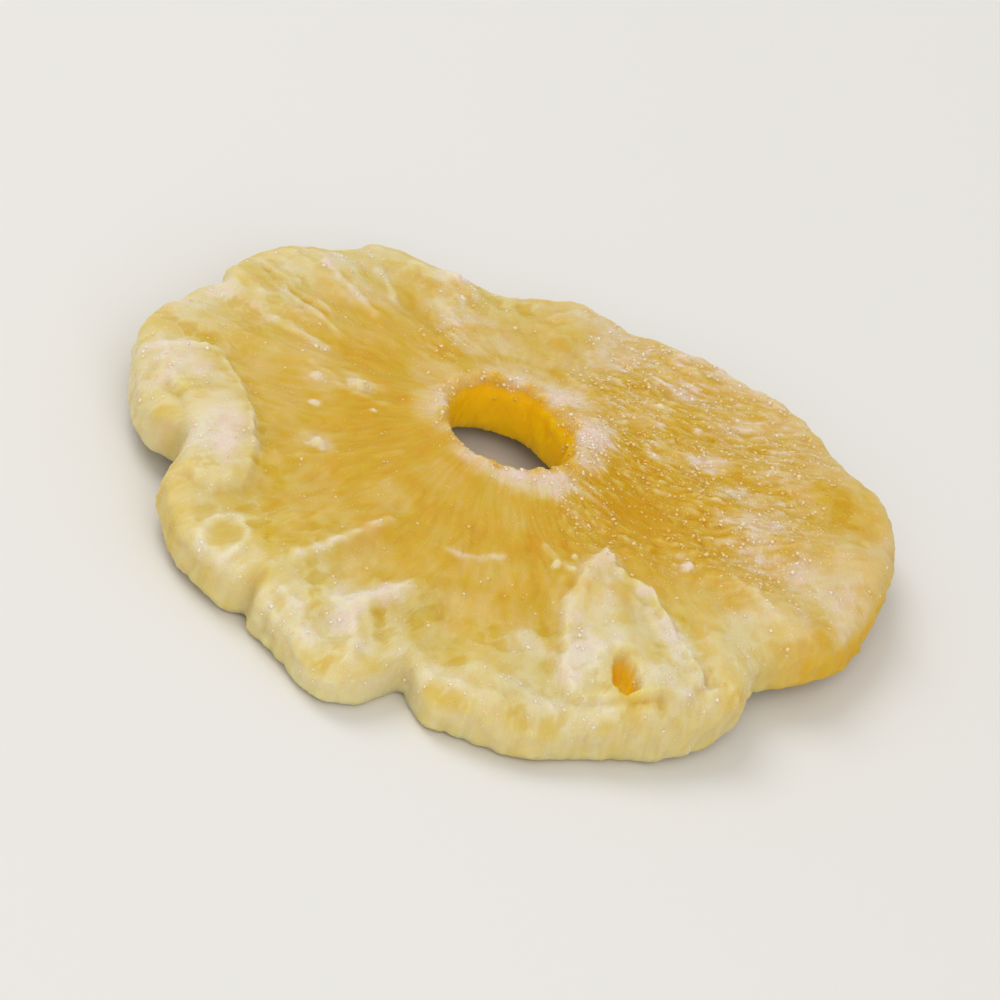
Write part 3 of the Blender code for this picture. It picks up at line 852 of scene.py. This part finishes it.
def add_attribute(obj, name, values, kind="FLOAT"):
    """A value for each vertex, which the materials read by its name."""
    attribute = obj.data.attributes.new(name, kind, "POINT")
    field = "value" if kind == "FLOAT" else "vector"
    attribute.data.foreach_set(field, np.asarray(values, np.float32).ravel())


def srgb(red, green, blue):
    """Blender's linear colour for a colour given as a screen shows it, 0 to 255."""
    linear = []
    for value in (red / 255, green / 255, blue / 255):
        linear.append(value / 12.92 if value <= 0.04045 else ((value + 0.055) / 1.055) ** 2.4)
    return (*linear, 1)


# Sockets of a Mix node that mixes colours
MIX_COLOUR_A = 6
MIX_COLOUR_B = 7
MIX_COLOUR_RESULT = 2

# Colours of the flesh by its paleness, casts by its tint, the bright gold of the painted glow, and the
# colours of sugar
FLESH_COLOURS = (
    (0.0, srgb(206, 154, 2)),
    (0.25, srgb(211, 172, 52)),
    (0.5, srgb(217, 188, 108)),
    (0.75, srgb(223, 204, 156)),
    (1.0, srgb(231, 217, 194)),
)
TINTS = (
    (0.0, (0.96, 1.00, 0.94, 1)),
    (0.5, (0.98, 0.95, 0.97, 1)),
    (1.0, (1.00, 0.91, 1.00, 1)),
)
# Painted glow: a bright gold in place of light shining through the flesh where it lies in shade
PAINTED_GLOW_GOLD = srgb(250, 200, 14)
SUGAR_COLOURS = (
    (0.0, srgb(244, 204, 112)),
    (0.45, srgb(248, 222, 160)),
    (1.0, srgb(250, 238, 220)),
)


class Nodes:
    """Short hand for building a material's nodes."""

    def __init__(self, name):
        self.material = bpy.data.materials.new(name)
        self.material.use_nodes = True
        self.tree = self.material.node_tree
        self.shader = self.tree.nodes["Principled BSDF"]

    def add(self, kind, **settings):
        node = self.tree.nodes.new(kind)
        for key, value in settings.items():
            setattr(node, key, value)
        return node

    def link(self, source, target):
        self.tree.links.new(source, target)

    def feed(self, socket, value):
        if isinstance(value, bpy.types.NodeSocket):
            self.link(value, socket)
        else:
            socket.default_value = value

    def math(self, operation, a, b=0.0, clamp=False):
        node = self.add("ShaderNodeMath", operation=operation, use_clamp=clamp)
        self.feed(node.inputs[0], a)
        self.feed(node.inputs[1], b)
        return node.outputs[0]

    def attribute(self, name, output="Fac"):
        return self.add("ShaderNodeAttribute", attribute_name=name).outputs[output]

    def noise(self, vector, scale, detail, roughness):
        node = self.add("ShaderNodeTexNoise")
        self.link(vector, node.inputs["Vector"])
        node.inputs["Scale"].default_value = scale
        node.inputs["Detail"].default_value = detail
        node.inputs["Roughness"].default_value = roughness
        return node.outputs["Fac"]

    def ramp(self, value, stops):
        node = self.add("ShaderNodeValToRGB")
        elements = node.color_ramp.elements
        while len(elements) < len(stops):
            elements.new(0.5)
        for element, (position, colour) in zip(elements, stops):
            element.position = position
            element.color = colour
        self.link(value, node.inputs["Fac"])
        return node.outputs["Color"]

    def vary(self, value, texture, amount, clamp=False):
        """A value that a texture raises and lowers by up to half the amount."""
        change = self.math("MULTIPLY", self.math("SUBTRACT", texture, 0.5), amount)
        return self.math("ADD", value, change, clamp)

    def scaled(self, value, factor, offset):
        """value * factor + offset."""
        return self.math("ADD", self.math("MULTIPLY", value, factor), offset)

    def mix(self, factor, first, second, blend="MIX"):
        """Two colours mixed."""
        node = self.add("ShaderNodeMix", data_type="RGBA", blend_type=blend)
        self.feed(node.inputs["Factor"], factor)
        self.feed(node.inputs[MIX_COLOUR_A], first)
        self.feed(node.inputs[MIX_COLOUR_B], second)
        return node.outputs[MIX_COLOUR_RESULT]

    def set_shader(self, values):
        """Values that are the same all over, on the shader's own sockets."""
        for socket, value in values.items():
            self.shader.inputs[socket].default_value = value


def flesh_material():
    """Clear golden flesh that turns pale and dull where it is dry and sugared, with a bright gold painted in
    as glow where it lies in shade.
    """
    m = Nodes("dried_flesh")
    place = m.add("ShaderNodeTexCoord").outputs["Object"]
    strands = m.noise(m.attribute("fibre", "Vector"), scale=3.2, detail=3.0, roughness=0.6)
    flecks = m.noise(m.attribute("crossing", "Vector"), scale=1.0, detail=3.0, roughness=0.65)
    blotches = m.noise(place, scale=420, detail=3.0, roughness=0.6)
    specks = m.noise(place, scale=1400, detail=2.0, roughness=0.7)
    grain = m.noise(place, scale=2600, detail=2.0, roughness=0.6)
    value = m.vary(m.attribute("pale"), strands, 0.14)
    value = m.vary(value, flecks, m.scaled(m.attribute("busy"), 0.42, 0.06))
    value = m.vary(value, specks, 0.10)
    value = m.vary(value, blotches, 0.14, clamp=True)
    tinted = m.mix(1.0, m.ramp(value, FLESH_COLOURS), m.ramp(m.attribute("tint"), TINTS), "MULTIPLY")
    # The painted glow: bright gold mixed into the base colour
    m.link(m.mix(m.attribute("painted_glow"), tinted, PAINTED_GLOW_GOLD), m.shader.inputs["Base Color"])
    m.link(m.scaled(value, 0.25, 0.42), m.shader.inputs["Roughness"])
    m.set_shader({
        "Subsurface Weight": 0.7,
        "Subsurface Radius": (1.0, 0.6, 0.10),
        "Subsurface Scale": 0.005,
        "IOR": 1.45,
        "Specular IOR Level": 0.2,
    })
    bump = m.add("ShaderNodeBump")
    bump.inputs["Distance"].default_value = 0.00016
    bump.inputs["Strength"].default_value = 0.30
    bumps = m.math("ADD", m.math("MULTIPLY", strands, 0.9), m.math("ADD", specks, grain))
    m.link(bumps, bump.inputs["Height"])
    m.link(bump.outputs["Normal"], m.shader.inputs["Normal"])
    return m.material


def sugar_material():
    """Sugar crystals, golden where they lie on clear flesh and white where they cake."""
    m = Nodes("sugar")
    place = m.add("ShaderNodeTexCoord").outputs["Object"]
    cloud = m.noise(place, scale=900, detail=1.0, roughness=0.5)
    value = m.vary(m.attribute("pale"), cloud, 0.3, clamp=True)
    m.link(m.ramp(value, SUGAR_COLOURS), m.shader.inputs["Base Color"])
    m.link(m.scaled(cloud, 0.3, 0.25), m.shader.inputs["Roughness"])
    m.set_shader({"Specular IOR Level": 0.35})
    return m.material


def surface_samples(flesh, weight, count, rng):
    """count random places on the flesh, more where weight is high: points, normals and paleness."""
    quads = flesh.quads()
    a, b, c, d = (flesh.points[quads[:, k]] for k in range(4))
    across, along = (b + c - a - d) / 2, (c + d - a - b) / 2
    normal = np.cross(across, along)
    area = np.linalg.norm(normal, axis=1)
    normal /= area[:, None] + 1e-9
    chance = area * weight[quads].mean(axis=1)
    chosen = rng.choice(len(quads), size=count, p=chance / chance.sum())
    s, t = rng.random((2, count, 1))
    point = (a[chosen] * (1 - s) + b[chosen] * s) * (1 - t) + (d[chosen] * (1 - s) + c[chosen] * s) * t
    return point, normal[chosen], flesh.pale[quads[chosen, 0]]


def random_turns(count, rng):
    """Evenly random rotation matrices."""
    q = rng.normal(size=(count, 4))
    w, x, y, z = (q / np.linalg.norm(q, axis=1)[:, None]).T
    return np.stack([
        1 - 2 * (y * y + z * z), 2 * (x * y - z * w), 2 * (x * z + y * w),
        2 * (x * y + z * w), 1 - 2 * (x * x + z * z), 2 * (y * z - x * w),
        2 * (x * z - y * w), 2 * (y * z + x * w), 1 - 2 * (x * x + y * y),
    ], axis=1).reshape(-1, 3, 3)


# Shapes of a crystal: its corners and its faces
CUBE = (
    np.array([
        (-1, -1, -1), (1, -1, -1), (1, 1, -1), (-1, 1, -1),
        (-1, -1, 1), (1, -1, 1), (1, 1, 1), (-1, 1, 1),
    ]),
    np.array([(0, 3, 2, 1), (4, 5, 6, 7), (0, 1, 5, 4), (1, 2, 6, 5), (2, 3, 7, 6), (3, 0, 4, 7)]),
)
GEM = (
    np.array([(1, 0, 0), (0, 1, 0), (-1, 0, 0), (0, -1, 0), (0, 0, 1), (0, 0, -1)]),
    np.array([
        (0, 1, 4), (1, 2, 4), (2, 3, 4), (3, 0, 4),
        (1, 0, 5), (2, 1, 5), (3, 2, 5), (0, 3, 5),
    ]),
)


def scatter(name, flesh, weight, count, sizes, sink, crystal, seed):
    """Joined crystals on the flesh, each turned at random and partly sunk in it."""
    corners, faces = crystal
    smallest, largest = sizes
    rng = np.random.default_rng(seed)
    point, normal, pale = surface_samples(flesh, weight, count, rng)
    size = smallest + (largest - smallest) * rng.random(count) ** 2
    shape = corners[None] * (0.75 + 0.5 * rng.random((count, 1, 3)))
    shape = shape * (1 + 0.16 * rng.normal(size=(count, len(corners), 1)))
    turned = np.einsum("nij,nkj->nki", random_turns(count, rng), shape) * (size / 2)[:, None, None]
    turned -= 0.55 * np.einsum("nki,ni->nk", turned, normal)[:, :, None] * normal[:, None]
    centre = point + normal * (size * (0.5 - sink))[:, None]
    centre[:, 2] = np.maximum(centre[:, 2], size * 0.9)
    points = (centre[:, None] + turned).reshape(-1, 3)
    first_corner = np.arange(count) * len(corners)
    all_faces = (faces[None] + first_corner[:, None, None]).reshape(-1, faces.shape[1])
    obj = mesh_from(name, points, all_faces)
    add_attribute(obj, "pale", np.repeat(pale + 0.15 * rng.normal(size=count), len(corners)))
    return obj


def make_flesh(flesh):
    """The ring's flesh as one mesh, with the attributes that its material reads."""
    obj = mesh_from("pineapple_flesh", flesh.points, flesh.quads())
    obj.data.shade_smooth()
    add_attribute(obj, "pale", flesh.pale)
    add_attribute(obj, "tint", flesh.tint)
    add_attribute(obj, "busy", flesh.busy)
    # Where bright gold is painted on as glow
    add_attribute(obj, "painted_glow", flesh.painted_glow)
    add_attribute(obj, "fibre", flesh.fibre, "FLOAT_VECTOR")
    add_attribute(obj, "crossing", flesh.crossing / (1.1, 0.35, 1), "FLOAT_VECTOR")
    obj.data.materials.append(flesh_material())
    return obj


def make_sugar(flesh):
    """Two sizes of sugar: grains that show singly, and dust that dulls the crust."""
    top = ease(flesh.up, -0.2, 0.6)
    clumps = ease(flesh.mottle(1.3, 81) + 0.5 * flesh.mottle(4.0, 82), -0.2, 0.9)
    caked = ease(flesh.pale, 0.55, 0.95)
    grains = (0.06 + top) * (0.015 + (0.9 * flesh.busy + 0.35 * caked) * (0.15 + clumps) + 0.3 * flesh.lip)
    dust = (0.10 + top) * (0.06 + (0.6 * flesh.busy + 0.9 * caked) * (0.3 + clumps) + 0.5 * flesh.lip)
    return [
        scatter("sugar_grains", flesh, grains, GRAINS, GRAIN_SIZES, GRAIN_SINK, CUBE, seed=5),
        scatter("sugar_dust", flesh, dust, DUST, DUST_SIZES, DUST_SINK, GEM, seed=6),
    ]


# The photograph's view: distances in metres, lens and sensor in millimetres
CAMERA_ELEVATION = radians(33)
CAMERA_ROLL = radians(19.6)
CAMERA_DISTANCE = 2.0
CAMERA_AIM = (0, 0, 0.0045)
SENSOR_WIDTH = 36
LENS = 713


def area_light(name, energy, size, direction, distance):
    """A round lamp that faces the ring from the given direction."""
    light = bpy.data.lights.new(name, "AREA")
    light.energy = energy
    light.shape = "DISK"
    light.size = size
    obj = bpy.data.objects.new(name, light)
    away = Vector(direction).normalized()
    obj.location = away * distance
    obj.rotation_euler = away.to_track_quat("Z", "Y").to_euler()
    bpy.context.scene.collection.objects.link(obj)


def make_floor():
    bpy.ops.mesh.primitive_plane_add(size=4.0)
    floor = bpy.context.object
    floor.name = "floor"
    m = Nodes("floor")
    m.set_shader({"Base Color": srgb(232, 230, 226), "Roughness": 0.8, "Specular IOR Level": 0.2})
    floor.data.materials.append(m.material)


def make_lights():
    world = bpy.data.worlds.new("studio")
    world.use_nodes = True
    background = world.node_tree.nodes["Background"]
    background.inputs["Color"].default_value = (1.0, 0.99, 0.97, 1)
    background.inputs["Strength"].default_value = 0.58
    bpy.context.scene.world = world
    area_light("key", energy=2.8, size=0.6, direction=(-0.55, 0.35, 0.9), distance=0.9)
    area_light("fill", energy=3.7, size=0.9, direction=(0.2, -1.0, 0.7), distance=1.0)


def make_camera():
    """The photograph's view: from the front and above, with a long lens, rolled as the ring leans there."""
    back = Vector((0, -cos(CAMERA_ELEVATION), sin(CAMERA_ELEVATION)))
    camera = bpy.data.objects.new("camera", bpy.data.cameras.new("camera"))
    camera.data.sensor_width = SENSOR_WIDTH
    camera.data.lens = LENS
    camera.data.clip_start = 0.01
    camera.data.clip_end = 20
    camera.location = Vector(CAMERA_AIM) + back * CAMERA_DISTANCE
    turn = (-back).to_track_quat("-Z", "Y").to_matrix() @ Matrix.Rotation(CAMERA_ROLL, 3, "Z")
    camera.rotation_euler = turn.to_euler()
    bpy.context.scene.collection.objects.link(camera)
    bpy.context.scene.camera = camera


def main():
    flesh = Flesh()
    ring = make_flesh(flesh)
    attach(ring, "root")
    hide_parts("pineapple_ring")
    sugar = sugar_material()
    for piece in make_sugar(flesh):
        piece.data.materials.append(sugar)
        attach(piece, "root")
    make_floor()
    make_lights()
    make_camera()
    bpy.context.scene.view_settings.view_transform = "Standard"


main()
